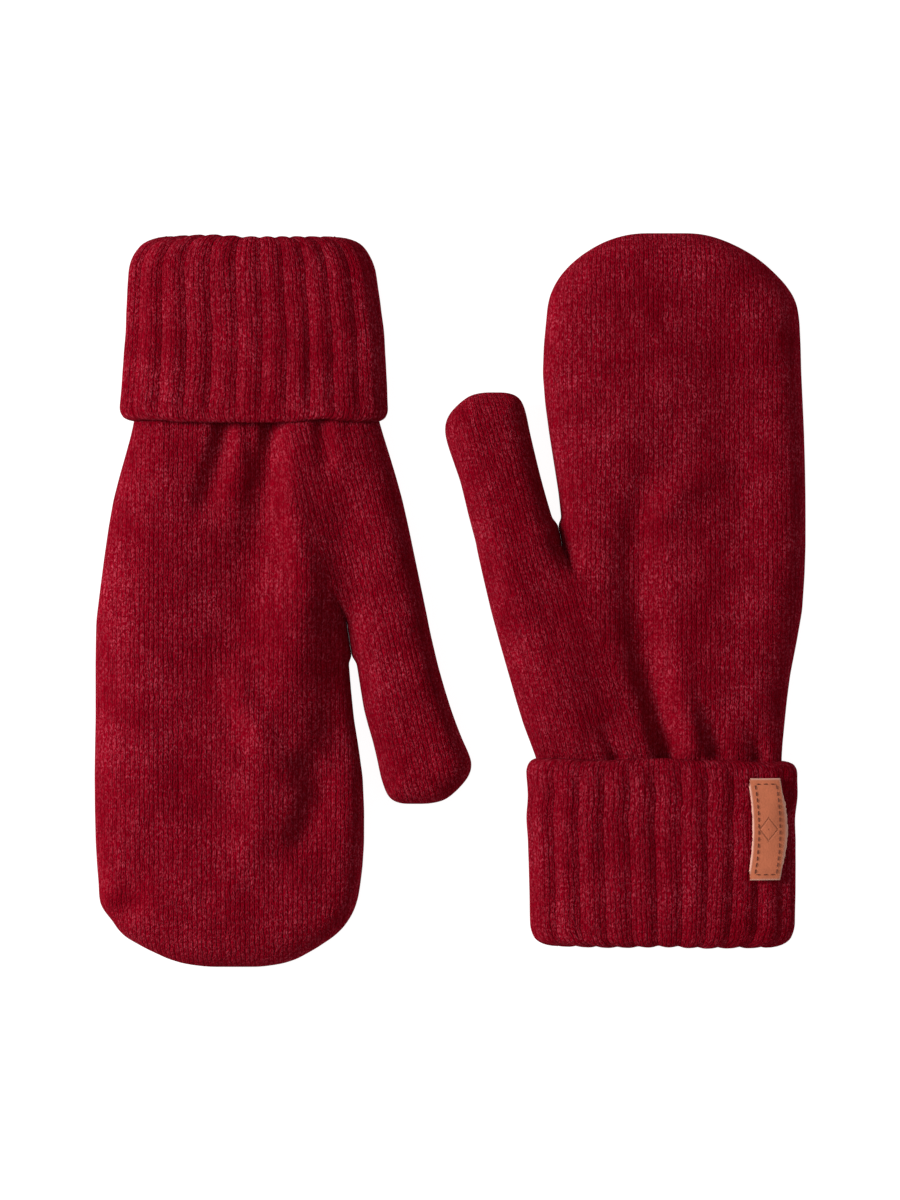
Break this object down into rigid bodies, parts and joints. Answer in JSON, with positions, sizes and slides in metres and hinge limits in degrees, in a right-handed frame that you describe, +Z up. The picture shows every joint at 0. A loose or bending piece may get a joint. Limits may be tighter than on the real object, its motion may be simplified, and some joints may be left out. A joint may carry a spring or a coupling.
{
  "type": "pair of knitted mittens",
  "caption": "Pair of plain knitted mittens with turned-up rib cuffs and a small stitched leather label on one cuff, laid flat side by side.",
  "frame": {"origin": "centre of the pair's bounding box on the plane it lies on", "axes": "+Y towards the right mitten's finger tips and the left mitten's cuff, +X towards the right mitten's little-finger side, +Z up off the plane the pair lies on"},
  "size_m": [0.2634, 0.272, 0.0222],
  "materials": {
    "plain_knit": "dark crimson plain knit",
    "rib_knit": "dark crimson two-by-two rib knit",
    "closing_yarn": "dark crimson wool yarn",
    "label_leather": "tan leather, matt, pale raw edge",
    "sewing_thread": "dark brown sewing thread"
  },
  "bodies": {
    "left_hand": {"left_palm": "plain_knit", "left_cuff": "rib_knit"},
    "left_finger_pouch": {"left_fingers": "plain_knit", "left_finger_closing_yarn": "closing_yarn"},
    "left_thumb_pouch": {"left_thumb": "plain_knit", "left_thumb_closing_yarn": "closing_yarn"},
    "right_hand": {"right_palm": "plain_knit", "right_cuff": "rib_knit", "right_label": "label_leather", "right_label_stitching": "sewing_thread"},
    "right_finger_pouch": {"right_fingers": "plain_knit", "right_finger_closing_yarn": "closing_yarn"},
    "right_thumb_pouch": {"right_thumb": "plain_knit", "right_thumb_closing_yarn": "closing_yarn"}
  },
  "joints": [
    {"name": "right_lift", "type": "slide", "parent": "left_hand", "child": "right_hand", "axis": [0, 0, 1], "range_m": [0, 0.1]},
    {"name": "left_finger_fold", "type": "hinge", "parent": "left_hand", "child": "left_finger_pouch", "pos_m": [-0.082, -0.008, 0.021], "axis": [-1, 0, 0], "range_deg": [0, 90]},
    {"name": "left_thumb_bend", "type": "hinge", "parent": "left_hand", "child": "left_thumb_pouch", "pos_m": [-0.023, -0.008, 0.021], "axis": [-1, 0, 0], "range_deg": [0, 60]},
    {"name": "right_finger_fold", "type": "hinge", "parent": "right_hand", "child": "right_finger_pouch", "pos_m": [0.086, 0.02, 0.021], "axis": [1, 0, 0], "range_deg": [0, 90]},
    {"name": "right_thumb_bend", "type": "hinge", "parent": "right_hand", "child": "right_thumb_pouch", "pos_m": [0.0255, 0.02, 0.021], "axis": [1, 0, 0], "range_deg": [0, 60]}
  ]
}
